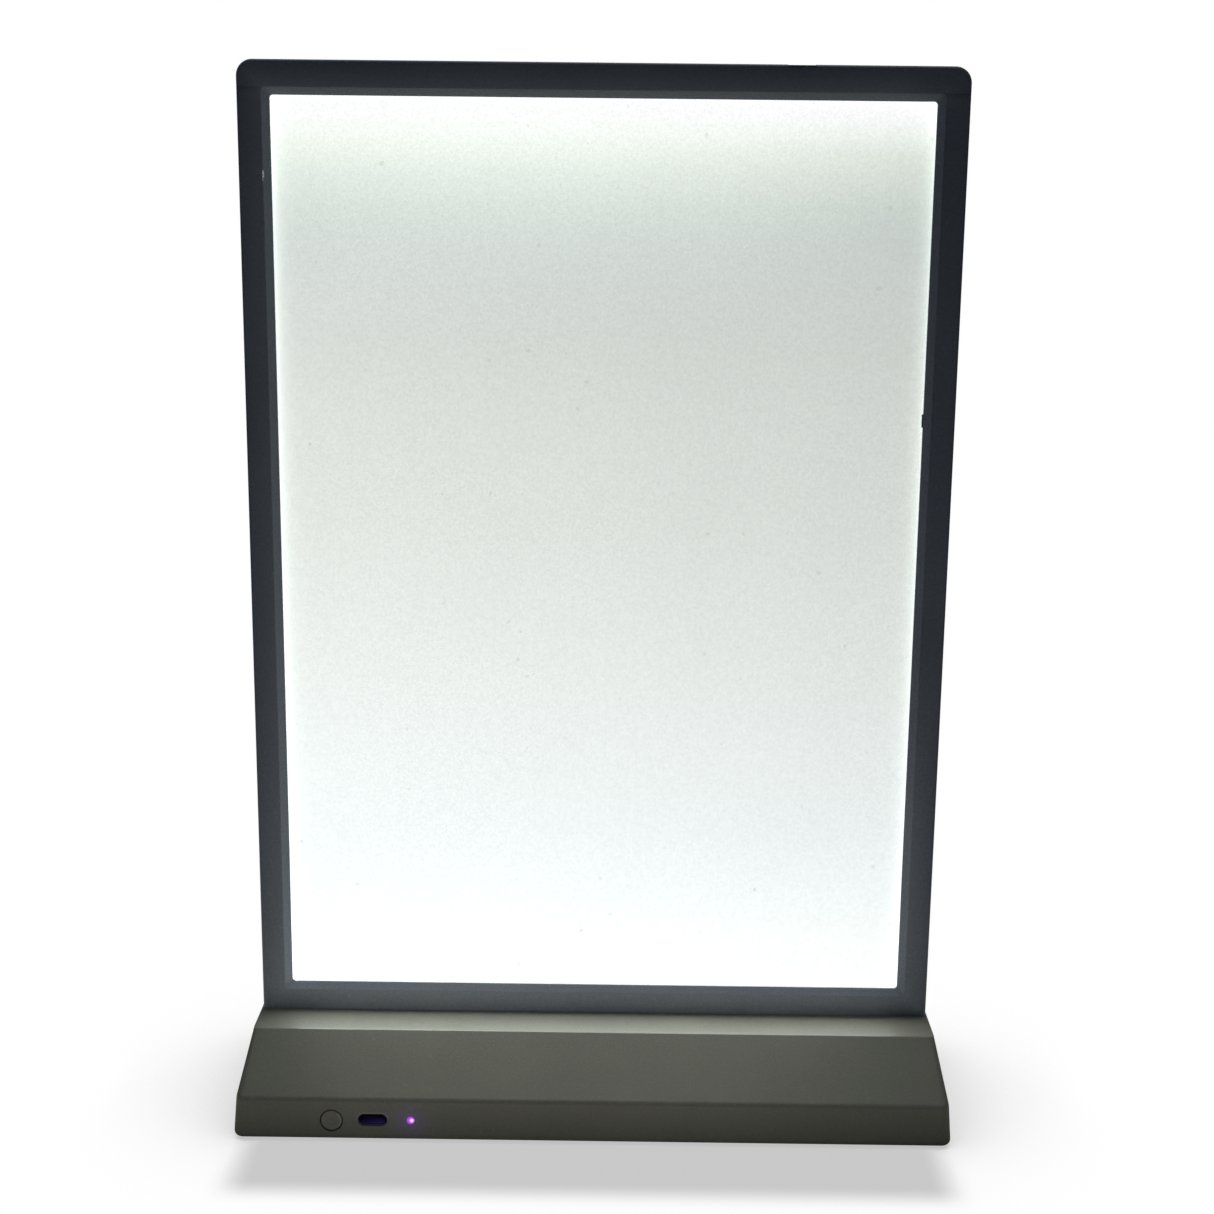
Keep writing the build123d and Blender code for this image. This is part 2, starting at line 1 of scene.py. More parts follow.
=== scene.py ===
import bpy
import json
import math
from mathutils import Matrix, Vector


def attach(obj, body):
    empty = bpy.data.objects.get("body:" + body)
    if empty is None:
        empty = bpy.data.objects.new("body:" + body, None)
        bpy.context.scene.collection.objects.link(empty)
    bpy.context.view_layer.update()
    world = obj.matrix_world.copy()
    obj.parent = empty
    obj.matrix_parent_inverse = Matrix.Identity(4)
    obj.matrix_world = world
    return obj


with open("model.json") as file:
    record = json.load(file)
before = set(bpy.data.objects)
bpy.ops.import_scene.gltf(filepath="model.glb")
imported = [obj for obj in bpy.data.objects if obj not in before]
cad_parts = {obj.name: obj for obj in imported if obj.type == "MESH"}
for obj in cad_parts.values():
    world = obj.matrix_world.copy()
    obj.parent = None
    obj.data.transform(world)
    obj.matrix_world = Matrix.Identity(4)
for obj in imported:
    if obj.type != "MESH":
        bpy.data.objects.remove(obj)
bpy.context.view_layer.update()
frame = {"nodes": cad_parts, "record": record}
nodes = frame["nodes"]
MM = 0.001


# ------------------------------------------------------------------ node helpers
class G:
    """A small builder for one node material."""

    def __init__(self, name):
        self.m = bpy.data.materials.new(name)
        self.m.use_nodes = True
        self.t = self.m.node_tree
        self.t.nodes.clear()
        self.out = self.t.nodes.new("ShaderNodeOutputMaterial")
        self.tc = self.t.nodes.new("ShaderNodeTexCoord")
        self.sep = self.t.nodes.new("ShaderNodeSeparateXYZ")
        self.link(self.tc.outputs["Object"], self.sep.inputs[0])
        self.x, self.y, self.z = self.sep.outputs[0], self.sep.outputs[1], self.sep.outputs[2]

    def link(self, a, b):
        self.t.links.new(a, b)

    def put(self, sock, v):
        if isinstance(v, bpy.types.NodeSocket):
            self.link(v, sock)
        else:
            sock.default_value = v

    def n(self, kind, ins=None, **props):
        nd = self.t.nodes.new(kind)
        for k, v in props.items():
            setattr(nd, k, v)
        for k, v in (ins or {}).items():
            self.put(nd.inputs[k], v)
        return nd

    def math(self, op, a, b=0.0, c=0.0, clamp=False):
        nd = self.n("ShaderNodeMath", operation=op, use_clamp=clamp)
        self.put(nd.inputs[0], a)
        if len(nd.inputs) > 1:
            self.put(nd.inputs[1], b)
        if len(nd.inputs) > 2:
            self.put(nd.inputs[2], c)
        return nd.outputs[0]

    def noise(self, scale, detail=2.0, rough=0.5, vec=None, dist=0.0):
        nd = self.n("ShaderNodeTexNoise", {"Scale": scale, "Detail": detail, "Roughness": rough, "Distortion": dist})
        self.link(vec or self.tc.outputs["Object"], nd.inputs["Vector"])
        return nd.outputs["Fac"]

    def scaled(self, sx, sy, sz):
        mp = self.n("ShaderNodeMapping", {"Scale": (sx, sy, sz)})
        self.link(self.tc.outputs["Object"], mp.inputs["Vector"])
        return mp.outputs[0]

    def ramp(self, fac, stops, interp="LINEAR"):
        nd = self.n("ShaderNodeValToRGB")
        nd.color_ramp.interpolation = interp
        el = nd.color_ramp.elements
        while len(el) > 1:
            el.remove(el[-1])
        el[0].position, el[0].color = stops[0][0], (*stops[0][1], 1)
        for p, c in stops[1:]:
            e = el.new(p)
            e.color = (*c, 1)
        self.link(fac, nd.inputs[0])
        return nd.outputs[0]

    def span(self, v, a, b, lo=0.0, hi=1.0, smooth=False):
        nd = self.n("ShaderNodeMapRange", interpolation_type="SMOOTHSTEP" if smooth else "LINEAR")
        self.put(nd.inputs[0], v)
        for i, q in enumerate((a, b, lo, hi)):
            nd.inputs[i + 1].default_value = q
        return nd.outputs[0]

    def mix(self, fac, a, b, mode="MIX"):
        nd = self.n("ShaderNodeMix", data_type="RGBA", blend_type=mode)
        self.put(nd.inputs[0], fac)
        self.put(nd.inputs[6], (*a, 1) if isinstance(a, tuple) else a)
        self.put(nd.inputs[7], (*b, 1) if isinstance(b, tuple) else b)
        return nd.outputs[2]

    def scale_col(self, col, fac):
        nd = self.n("ShaderNodeVectorMath", operation="SCALE")
        self.put(nd.inputs[0], col)
        self.put(nd.inputs["Scale"], fac)
        return nd.outputs[0]

    def bump(self, height, strength, dist, normal=None):
        nd = self.n("ShaderNodeBump", {"Strength": strength, "Distance": dist})
        self.link(height, nd.inputs["Height"])
        if normal is not None:
            self.link(normal, nd.inputs["Normal"])
        return nd.outputs[0]

    def radial(self, cx, cz):
        """Distance from a point in the XZ plane."""
        dx = self.math("SUBTRACT", self.x, cx)
        dz = self.math("SUBTRACT", self.z, cz)
        return self.math("SQRT", self.math("ADD", self.math("MULTIPLY", dx, dx), self.math("MULTIPLY", dz, dz)))

    def principled(self, **ins):
        p = self.n("ShaderNodeBsdfPrincipled")
        for k, v in ins.items():
            v = (*v, 1) if isinstance(v, tuple) and len(v) == 3 else v
            self.put(p.inputs[k.replace("_", " ")], v)
        return p

    def done(self, shader):
        self.link(shader, self.out.inputs[0])
        return self.m


BTN = (-84.6 * MM, 7.5 * MM)
PORT = (-71.25 * MM, 7.8 * MM)
LAMP = (-58.9 * MM, 7.8 * MM)


def moulded(name, base, rough, grain=0.35, vary=0.12, wear=0.10, seam_and_painted_light=False, glow=False, spec=0.5, scuff_and_glint=False, coat=0.3, speckle=0.10):
    """Fine-grained moulded plastic with soft edges, slight wear, smudges and a little dust; optional painted shade,
    painted highlights and painted glow.
    """
    g = G(name)
    round_n = g.n("ShaderNodeBevel", {"Radius": 0.00035}, samples=4).outputs[0]
    geo = g.n("ShaderNodeNewGeometry")
    flat = g.n("ShaderNodeVectorMath", operation="DOT_PRODUCT")
    g.link(round_n, flat.inputs[0]); g.link(geo.outputs["Normal"], flat.inputs[1])
    edge = g.span(flat.outputs["Value"], 0.995, 0.85)
    patch = g.noise(85, 3, 0.6)
    edge = g.math("MULTIPLY", edge, g.span(patch, 0.42, 0.62, 0.15, 1.0), clamp=True)
    cloud = g.noise(14, 4, 0.55)
    fine = g.noise(1900, 2, 0.6)
    mid = g.noise(240, 3, 0.55)
    shade = g.math("ADD", g.span(cloud, 0.3, 0.7, 1 - vary, 1 + vary), g.span(fine, 0.3, 0.7, -speckle, speckle))
    col = g.scale_col((*base,), shade)
    tint = tuple(min(1.0, c * 1.5 + 0.05) for c in base)
    col = g.mix(g.math("MULTIPLY", edge, wear), col, tint)
    # sparse pale dust specks
    speck = g.span(g.noise(620, 1, 0.5, dist=0.4), 0.735, 0.765)
    col = g.mix(g.math("MULTIPLY", speck, 0.18), col, (0.55, 0.55, 0.53))
    r = g.math("ADD", g.span(cloud, 0.3, 0.7, rough - 0.05, rough + 0.05), g.span(mid, 0.3, 0.7, -0.03, 0.03))
    r = g.math("ADD", r, g.math("MULTIPLY", edge, -0.08), clamp=True)
    height = g.math("ADD", fine, g.math("MULTIPLY", mid, 0.6))
    nrm = g.bump(height, grain, 0.00004, round_n)
    em_col, em_str = (0.0, 0.0, 0.0), 0.0
    if seam_and_painted_light:
        # parting line between the two halves of the case
        line = g.span(g.math("ABSOLUTE", g.y), 0.00010, 0.00026, 1.0, 0.0, smooth=True)
        col = g.mix(g.math("MULTIPLY", line, 0.85), col, (0.004, 0.004, 0.004))
        nrm = g.bump(line, -0.8, 0.0003, nrm)
        # painted shade: the colour of the slanted edge above the opening is darkened away from the lit face
        rise = g.math("SUBTRACT", g.z, 0.3306)
        upper = g.math("MULTIPLY", g.span(rise, 0.0, 0.0001), g.math("LESS_THAN", rise, 0.00242))
        col = g.mix(g.math("MULTIPLY", upper, g.math("GREATER_THAN", g.math("ABSOLUTE", g.y), 0.0040)), col, g.scale_col(col, g.span(rise, 0.0026, 0.0002, 0.62, 1.02)))
    if scuff_and_glint:
        # scuff on the bezel, painted as a glint: paler colour plus a little emitted light (painted highlight)
        a = g.span(g.math("ABSOLUTE", g.math("SUBTRACT", g.x, -0.10435)), 0.0001, 0.0003, 1.0, 0.0)
        b = g.span(g.math("ABSOLUTE", g.math("SUBTRACT", g.z, 0.3065)), 0.0008, 0.0019, 1.0, 0.0)
        mark = g.math("MULTIPLY", g.math("MULTIPLY", a, b), g.span(g.noise(2200, 1), 0.4, 0.55))
        mark = g.math("MULTIPLY", mark, g.math("LESS_THAN", g.y, 0.0))
        col = g.mix(mark, col, (0.62, 0.64, 0.66))
        em_str = mark
    if glow:
        # painted shade: a dark ring round the edge of the button hole
        painted_hole_shade = g.math("MULTIPLY", g.span(g.math("ABSOLUTE", g.math("SUBTRACT", g.radial(*BTN), 0.00372)), 0.00008, 0.00030, 1.0, 0.0), g.span(g.y, -0.0398, -0.0402))
        col = g.mix(g.math("MULTIPLY", painted_hole_shade, 0.30), col, (0.03, 0.03, 0.028))
        # painted highlight on the rounded lip over the socket opening
        pz = g.math("SUBTRACT", g.z, PORT[1])
        px = g.math("MAXIMUM", g.math("SUBTRACT", g.math("ABSOLUTE", g.math("SUBTRACT", g.x, PORT[0])), 0.0027), 0.0)
        pd = g.math("SQRT", g.math("ADD", g.math("MULTIPLY", px, px), g.math("MULTIPLY", pz, pz)))
        painted_lip_highlight = g.math("MULTIPLY", g.span(g.math("ABSOLUTE", g.math("SUBTRACT", pd, 0.00240)), 0.0001, 0.0004, 1.0, 0.0), g.span(pz, 0.0, 0.0014))
        col = g.mix(g.math("MULTIPLY", g.math("MULTIPLY", painted_lip_highlight, g.span(g.y, -0.0395, -0.0400)), 0.35), col, (0.62, 0.62, 0.57))
        # painted light: the front faces are lighter towards the left end and darker towards the right, painted into the
        # colour
        painted_side_light = g.ramp(g.span(g.x, -0.117, 0.117), [(0.0, (0.485,) * 3), (0.06, (0.52,) * 3), (0.11, (0.56,) * 3), (0.16, (0.575,) * 3), (0.27, (0.56,) * 3), (0.36, (0.52,) * 3),
                                                    (0.52, (0.487,) * 3), (0.68, (0.50,) * 3), (0.81, (0.465,) * 3), (0.89, (0.42,) * 3), (1.0, (0.415,) * 3)])
        col = g.mix(g.span(g.y, -0.0205, -0.0213), col, g.scale_col(col, g.math("MULTIPLY", painted_side_light, 2.0)))
    sep = g.n("ShaderNodeSeparateXYZ")
    g.link(geo.outputs["True Normal"], sep.inputs[0])
    crest = g.math("MULTIPLY", g.span(sep.outputs[2], 0.80, 0.86), g.span(sep.outputs[2], 0.995, 0.985)) if glow else 0.0
    gloss = g.math("SUBTRACT", g.span(cloud, 0.3, 0.7, 0.13, 0.20), g.math("MULTIPLY", crest, 0.07))
    p = g.principled(Base_Color=col, Roughness=r, Normal=nrm, Specular_IOR_Level=spec,
                     Coat_Weight=g.math("ADD", coat, g.math("MULTIPLY", crest, 0.4)), Coat_Roughness=gloss, Coat_Normal=g.bump(mid, 0.12, 0.00003, round_n))
    if seam_and_painted_light:
        # painted light: the case emits a little light so that the lower member, the faces and bevels round the opening
        # and the scuff glint read lighter, as if lit by the panel
        painted_lower_glow = g.math("MULTIPLY", g.span(g.z, 0.072, 0.038, 0.0, 1.0, smooth=True), g.math("GREATER_THAN", g.math("ABSOLUTE", g.y), 0.0052))
        off = g.math("MAXIMUM", g.math("SUBTRACT", g.math("ABSOLUTE", g.x), 0.102), g.math("MAXIMUM", g.math("SUBTRACT", g.z, 0.3306), g.math("SUBTRACT", 0.0406, g.z)))
        painted_opening_glow = g.math("MULTIPLY", g.span(off, 0.0095, 0.0024), g.math("GREATER_THAN", g.math("ABSOLUTE", g.y), 0.0052))
        painted_opening_glow = g.math("MULTIPLY", painted_opening_glow, g.span(g.z, 0.24, 0.05, 0.0080, 0.0225))
        painted_opening_glow = g.math("MULTIPLY", painted_opening_glow, g.math("SUBTRACT", 1.0, g.math("MULTIPLY", g.span(g.x, 0.090, 0.100), g.span(g.z, 0.10, 0.16))))
        painted_slant_glow = g.math("MULTIPLY", g.span(off, 0.0027, 0.0022), g.math("GREATER_THAN", g.math("ABSOLUTE", g.y), 0.0040))
        painted_opening_glow = g.math("ADD", painted_opening_glow, g.math("MULTIPLY", g.math("MULTIPLY", painted_slant_glow, g.span(g.x, -0.090, -0.100)), g.span(g.z, 0.25, 0.05, 0.010, 0.021)))
        painted_top_glow = g.math("POWER", g.span(off, 0.0095, 0.0024), 2.0)
        painted_opening_glow = g.math("ADD", painted_opening_glow, g.math("MULTIPLY", g.math("MULTIPLY", painted_top_glow, g.span(g.z, 0.328, 0.332)), g.math("MULTIPLY", g.math("GREATER_THAN", g.math("ABSOLUTE", g.y), 0.0052), 0.0062)))
        g.put(p.inputs["Emission Color"], (0.90, 1.0, 1.0, 1))
        g.put(p.inputs["Emission Strength"], g.math("ADD", g.math("ADD", g.math("MULTIPLY", em_str, 0.24), painted_opening_glow), g.math("MULTIPLY", g.math("MULTIPLY", painted_lower_glow, g.ramp(g.span(g.x, -0.112, 0.112), [(0.0, (0.5,) * 3), (0.06, (0.75,) * 3), (0.13, (1.3,) * 3), (0.28, (1.4,) * 3), (0.5, (1.0,) * 3), (0.74, (0.95,) * 3), (0.88, (0.75,) * 3), (0.93, (0.45,) * 3), (0.965, (0.0,) * 3), (1.0, (0.0,) * 3)])), 0.027)))
    if glow:
        # painted glow: the wall around the indicator emits a little violet light
        d = g.radial(*LAMP)
        painted_lamp_glow = g.math("POWER", g.span(d, 0.0012, 0.0120, 1.0, 0.0), 3.0)
        front = g.span(g.y, -0.0398, -0.0402)
        g.put(p.inputs["Emission Color"], (0.16, 0.07, 0.60, 1))
        g.put(p.inputs["Emission Strength"], g.math("MULTIPLY", g.math("MULTIPLY", painted_lamp_glow, front), 0.065))
    return g.done(p.outputs[0])


def metal(name, base, rough, streak=(400, 3000, 400), dark=0.5, metallic=1.0):
    """Metal with fine drawn streaks, stains and worn edges."""
    g = G(name)
    round_n = g.n("ShaderNodeBevel", {"Radius": 0.00012}, samples=4).outputs[0]
    lines = g.noise(1.0, 3, 0.6, vec=g.scaled(*streak))
    stain = g.noise(160, 4, 0.6)
    col = g.mix(g.span(stain, 0.35, 0.7), base, tuple(c * dark for c in base))
    col = g.scale_col(col, g.span(lines, 0.3, 0.7, 0.88, 1.12))
    r = g.math("ADD", g.span(lines, 0.3, 0.7, rough - 0.06, rough + 0.08), g.span(stain, 0.3, 0.7, -0.04, 0.1), clamp=True)
    p = g.principled(Base_Color=col, Roughness=r, Metallic=metallic, Normal=g.bump(lines, 0.25, 0.00003, round_n))
    return g.done(p.outputs[0])


def soft(name, base, rough, scale=500, bump=0.3, vary=0.15, spec=0.5, coat=0.0):
    """Rubber, sheath, epoxy and similar small plain pieces: mottled colour, uneven sheen, fine bump."""
    g = G(name)
    a, b = g.noise(scale, 3, 0.6), g.noise(scale * 0.12, 3, 0.55)
    col = g.scale_col((*base,), g.math("ADD", g.span(b, 0.3, 0.7, 1 - vary, 1 + vary), g.span(a, 0.3, 0.7, -vary / 2, vary / 2)))
    r = g.span(b, 0.3, 0.7, max(0.05, rough - 0.07), min(1.0, rough + 0.07))
    p = g.principled(Base_Color=col, Roughness=r, Normal=g.bump(a, bump, 0.00005), Specular_IOR_Level=spec, Coat_Weight=coat)
    return g.done(p.outputs[0])


# ------------------------------------------------------------------ the lit face
Z1, Z0 = 0.3306, 0.0406


def lit(name, boost):
    """Opal sheet lit from its top and bottom edges: bright bands, a greyer zone above the middle, fine grain."""
    g = G(name)
    f = g.span(g.z, Z1, Z0)
    stops = [(0.0, (1.0, 1.0, 1.0)), (0.02, (1.0, 1.0, 1.0)), (0.035, (0.96, 0.99, 0.945)), (0.06, (0.86, 0.91, 0.84)),
             (0.08, (0.79, 0.84, 0.785)), (0.11, (0.71, 0.755, 0.715)), (0.145, (0.66, 0.70, 0.672)), (0.20, (0.632, 0.655, 0.632)),
             (0.25, (0.635, 0.655, 0.63)), (0.35, (0.685, 0.70, 0.675)), (0.46, (0.72, 0.735, 0.71)), (0.58, (0.77, 0.79, 0.77)),
             (0.70, (0.825, 0.85, 0.845)), (0.81, (0.865, 0.895, 0.90)), (0.90, (0.94, 0.975, 0.98)), (0.95, (0.99, 1.0, 1.0)), (1.0, (1.0, 1.0, 1.0))]
    col = g.ramp(f, stops, "LINEAR")
    t = g.math("DIVIDE", g.x, 0.0885)
    lean = g.math("MULTIPLY", t, g.span(f, 0.75, 1.0, -0.075, -0.02))
    bow = g.math("MULTIPLY", g.math("MULTIPLY", t, t), g.span(f, 0.11, 0.22, -0.085, -0.008, smooth=True))
    side = g.math("ADD", g.math("MULTIPLY", g.math("ADD", lean, bow), g.span(f, 0.005, 0.055)), 1.0)
    cloud = g.noise(22, 3, 0.5)
    grain = g.noise(1150, 2, 0.75)
    k = g.math("MULTIPLY", side, g.span(cloud, 0.3, 0.7, 0.99, 1.01))
    k = g.math("MULTIPLY", k, g.span(grain, 0.28, 0.72, 0.925, 1.075))
    col = g.scale_col(col, k)
    # narrow warm-green glow down both side edges
    d = g.math("SUBTRACT", 0.102, g.math("ABSOLUTE", g.x))
    rim = g.math("POWER", 2.718, g.math("DIVIDE", d, -0.0021))
    col = g.mix(1.0, col, g.scale_col((0.22, 0.235, 0.20), rim), "ADD")
    # a few dark specks of dust behind the sheet
    speck = g.span(g.noise(330, 0, 0.5), 0.815, 0.83)
    col = g.mix(g.math("MULTIPLY", speck, 0.25), col, (0.35, 0.35, 0.33))
    lp = g.n("ShaderNodeLightPath")
    give = g.math("MULTIPLY", g.span(g.z, 0.080, 0.058, boost, boost * 2.15, smooth=True), g.span(g.x, -0.102, 0.102, 1.07, 0.86))
    cam_ray = lp.outputs["Is Camera Ray"]
    power = g.math("ADD", g.math("MULTIPLY", give, g.math("SUBTRACT", 1.0, cam_ray)), cam_ray)
    tintc = g.mix(lp.outputs["Is Camera Ray"], g.mix(1.0, col, (0.985, 1.0, 0.985), "MULTIPLY"), col)
    p = g.principled(Base_Color=(0.55, 0.56, 0.56), Roughness=g.span(grain, 0.3, 0.7, 0.4, 0.55), Normal=g.bump(grain, 0.1, 0.00003),
                     Emission_Color=tintc, Emission_Strength=power)
    return g.done(p.outputs[0])


def cover(name):
    """Clear sheet with a fine anti-glare grain and faint wipe marks."""
    g = G(name)
    grain = g.noise(2400, 2, 0.6)
    wipe = g.noise(1.0, 3, 0.6, vec=g.scaled(30, 30, 6))
    fres = g.n("ShaderNodeFresnel", {"IOR": 1.45})
    amount = g.math("MULTIPLY", fres.outputs[0], g.span(wipe, 0.3, 0.7, 0.8, 1.2), clamp=True)
    back = g.n("ShaderNodeNewGeometry").outputs["Backfacing"]
    amount = g.math("MULTIPLY", amount, g.math("SUBTRACT", 1.0, back))
    gl = g.principled(Base_Color=(0.02, 0.02, 0.02), Roughness=g.span(wipe, 0.3, 0.7, 0.22, 0.36), Specular_IOR_Level=1.0,
                      Normal=g.bump(grain, 0.15, 0.00002))
    tr = g.n("ShaderNodeBsdfTransparent", {"Color": (0.985, 0.995, 0.99, 1)})
    mx = g.n("ShaderNodeMixShader")
    g.put(mx.inputs[0], amount); g.link(tr.outputs[0], mx.inputs[1]); g.link(gl.outputs[0], mx.inputs[2])
    return g.done(mx.outputs[0])


def guide(name):
    """Clear acrylic with the printed dot pattern that turns light out of its faces."""
    g = G(name)
    v = g.n("ShaderNodeTexVoronoi", {"Scale": 700.0, "Randomness": 0.1})
    g.link(g.tc.outputs["Object"], v.inputs["Vector"])
    dot = g.span(v.outputs["Distance"], 0.22, 0.3, 1.0, 0.0)
    cloud = g.noise(40, 2)
    col = g.mix(dot, (0.72, 0.78, 0.78), (0.95, 0.96, 0.96))
    p = g.principled(Base_Color=g.scale_col(col, g.span(cloud, 0.3, 0.7, 0.95, 1.05)), Roughness=g.span(cloud, 0.3, 0.7, 0.06, 0.14),
                     Alpha=0.55, Normal=g.bump(dot, 0.3, 0.00003))
    return g.done(p.outputs[0])


def board(name, base, pad):
    """Circuit board: mask colour, buried tracks, tinned pads."""
    g = G(name)
    br = g.n("ShaderNodeTexBrick", {"Scale": 260.0, "Mortar Size": 0.03, "Color1": (*base, 1), "Color2": (*[c * 0.85 for c in base], 1),
                                    "Mortar": (*[c * 1.5 + 0.02 for c in base], 1)})
    g.link(g.scaled(1, 1, 1), br.inputs["Vector"])
    v = g.n("ShaderNodeTexVoronoi", {"Scale": 420.0})
    g.link(g.tc.outputs["Object"], v.inputs["Vector"])
    via = g.span(v.outputs["Distance"], 0.16, 0.2, 1.0, 0.0)
    col = g.mix(g.math("MULTIPLY", via, 0.8), br.outputs[0], pad)
    p = g.principled(Base_Color=col, Roughness=g.span(g.noise(90), 0.3, 0.7, 0.25, 0.42), Metallic=g.math("MULTIPLY", via, 0.7),
                     Normal=g.bump(br.outputs["Fac"], 0.2, 0.00003), Coat_Weight=0.3)
    return g.done(p.outputs[0])


def lamp_body(name, base, em, strength, spot=None):
    g = G(name)
    a = g.noise(700, 2)
    col = g.scale_col((*base,), g.span(a, 0.3, 0.7, 0.9, 1.1))
    e = g.scale_col((*em,), g.span(a, 0.3, 0.7, 0.9, 1.1))
    if spot:
        # white-hot centre, coloured rim
        d = g.radial(spot[0] + 0.00038, spot[1] + 0.00002)
        hot = g.math("POWER", g.span(d, 0.0001, 0.0012, 1.0, 0.0), 2.0)
        e = g.mix(hot, (0.51, 0.045, 0.98), (1.0, 0.64, 1.0))
        strength = g.span(hot, 0.0, 1.0, strength * 0.55, strength * 1.9)
    p = g.principled(Base_Color=col, Roughness=g.span(a, 0.3, 0.7, 0.15, 0.3), Emission_Color=e, Emission_Strength=strength,
                     Normal=g.bump(a, 0.1, 0.00003))
    return g.done(p.outputs[0])


def wrap(name):
    """Shrink-wrapped cell: banded film with soft wrinkles."""
    g = G(name)
    w = g.noise(1.0, 3, 0.6, vec=g.scaled(700, 120, 120))
    d = g.noise(35, 3)
    col = g.mix(g.span(d, 0.35, 0.65), (0.05, 0.17, 0.42), (0.07, 0.24, 0.55))
    p = g.principled(Base_Color=col, Roughness=g.span(w, 0.3, 0.7, 0.22, 0.4), Normal=g.bump(w, 0.35, 0.0001), Coat_Weight=0.25)
    return g.done(p.outputs[0])


def socket(name, base, rough, metallic):
    """Dark socket parts with a painted violet glow: emission along their lower side and faintly all over."""
    g = G(name)
    a, lines = g.noise(600, 3), g.noise(1.0, 2, 0.5, vec=g.scaled(500, 4000, 500))
    low = g.math("POWER", g.span(g.z, 0.0071, 0.0060, 0.0, 1.0), 1.3)
    right = g.span(g.x, -0.0757, -0.0668, 0.35, 1.0)
    low = g.math("MULTIPLY", low, g.span(g.y, -0.0355, -0.0393))
    # painted glow: emission standing in for the indicator's violet light
    painted_leak_glow = g.math("ADD", g.math("MULTIPLY", g.math("MULTIPLY", low, right), 0.11), 0.005)
    p = g.principled(Base_Color=g.scale_col((*base,), g.span(a, 0.3, 0.7, 0.8, 1.2)), Metallic=metallic, Specular_IOR_Level=0.2,
                     Roughness=g.span(lines, 0.3, 0.7, rough - 0.08, rough + 0.08), Normal=g.bump(lines, 0.2, 0.00003),
                     Emission_Color=(0.20, 0.12, 0.75), Emission_Strength=painted_leak_glow)
    return g.done(p.outputs[0])


def tape(name):
    g = G(name)
    w = g.noise(1.0, 2, 0.5, vec=g.scaled(600, 600, 60))
    p = g.principled(Base_Color=g.scale_col((0.86, 0.87, 0.87), g.span(w, 0.3, 0.7, 0.93, 1.05)), Metallic=0.6,
                     Roughness=g.span(w, 0.3, 0.7, 0.2, 0.35), Normal=g.bump(w, 0.2, 0.00004))
    return g.done(p.outputs[0])


def button_mat(name):
    """As the housing, smoother, with the faint worn outline of a power mark pressed into the cap, a painted highlight
    arc on its lower right and painted shade round its rim.
    """
    g = G(name)
    round_n = g.n("ShaderNodeBevel", {"Radius": 0.00025}, samples=4).outputs[0]
    fine, cloud = g.noise(1900, 2, 0.6), g.noise(160, 3, 0.55)
    d = g.radial(*BTN)
    dz = g.math("SUBTRACT", g.z, BTN[1])
    dx = g.math("ABSOLUTE", g.math("SUBTRACT", g.x, BTN[0]))
    ring = g.span(g.math("ABSOLUTE", g.math("SUBTRACT", d, 0.00135)), 0.00009, 0.0002, 1.0, 0.0)
    gap = g.math("MULTIPLY", g.span(dx, 0.0004, 0.0006, 1.0, 0.0), g.math("GREATER_THAN", dz, 0.0))
    ring = g.math("SUBTRACT", ring, gap, clamp=True)
    bar = g.math("MULTIPLY", g.span(dx, 0.00008, 0.00018, 1.0, 0.0),
                 g.span(g.math("ABSOLUTE", g.math("SUBTRACT", dz, 0.0009)), 0.0007, 0.0009, 1.0, 0.0))
    mark = g.math("MULTIPLY", g.math("MAXIMUM", ring, bar), g.span(cloud, 0.35, 0.6, 0.35, 1.0))
    col = g.scale_col((0.405, 0.398, 0.335), g.math("ADD", g.span(cloud, 0.3, 0.7, 0.92, 1.1), g.span(fine, 0.3, 0.7, -0.05, 0.05)))
    col = g.mix(g.math("MULTIPLY", mark, 0.4), col, (0.1, 0.1, 0.09))
    shine = g.span(d, 0.0007, 0.0030, 0.0, 1.0)
    # painted highlight: a pale arc on the cap's lower right edge
    aim = g.math("DIVIDE", g.math("ADD", g.math("SUBTRACT", g.x, BTN[0]), g.math("MULTIPLY", dz, 0.15)), g.math("MAXIMUM", d, 0.0005))
    painted_arc_highlight = g.math("MULTIPLY", g.span(g.math("ABSOLUTE", g.math("SUBTRACT", d, 0.00300)), 0.00010, 0.00036, 1.0, 0.0), g.span(aim, 0.55, 0.95))
    col = g.mix(g.math("MULTIPLY", painted_arc_highlight, 0.8), col, (0.62, 0.62, 0.58))
    # painted shade round the rim of the cap
    painted_rim_shade = g.span(d, 0.0032, 0.00343)
    col = g.mix(g.math("MULTIPLY", painted_rim_shade, 0.30), col, (0.05, 0.05, 0.045))
    h = g.math("SUBTRACT", g.math("MULTIPLY", fine, 0.4), mark)
    p = g.principled(Base_Color=col, Roughness=g.span(shine, 0.0, 1.0, 0.34, 0.45), Normal=g.bump(h, 0.3, 0.00006, round_n))
    return g.done(p.outputs[0])
